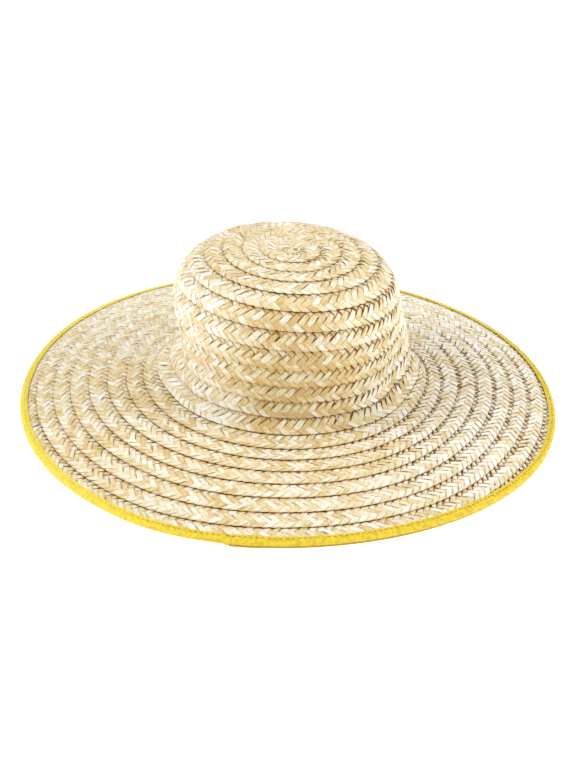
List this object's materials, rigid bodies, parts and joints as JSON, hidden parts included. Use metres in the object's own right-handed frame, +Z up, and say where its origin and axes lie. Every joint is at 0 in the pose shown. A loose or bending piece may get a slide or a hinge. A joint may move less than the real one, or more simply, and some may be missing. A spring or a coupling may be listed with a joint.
{
  "type": "wide-brim floppy straw hat",
  "caption": "Round-crowned sun hat sewn from a spiral of plaited straw braid, with a wide, gently wavy drooping brim and a folded tape on the rim.",
  "frame": {"origin": "middle of the bounding box's bottom face, on the surface the rim rests on", "axes": "+Z up through the crown's tip, -Y towards the pictured side, +X to the right as seen from it"},
  "size_m": [0.4692, 0.4714, 0.1452],
  "materials": {
    "straw": "semi-gloss plaited wheat straw",
    "tape": "woven satin-faced tape"
  },
  "bodies": {
    "root": {"crown": "straw", "brim": "straw", "rim_tape": "tape"}
  },
  "joints": []
}
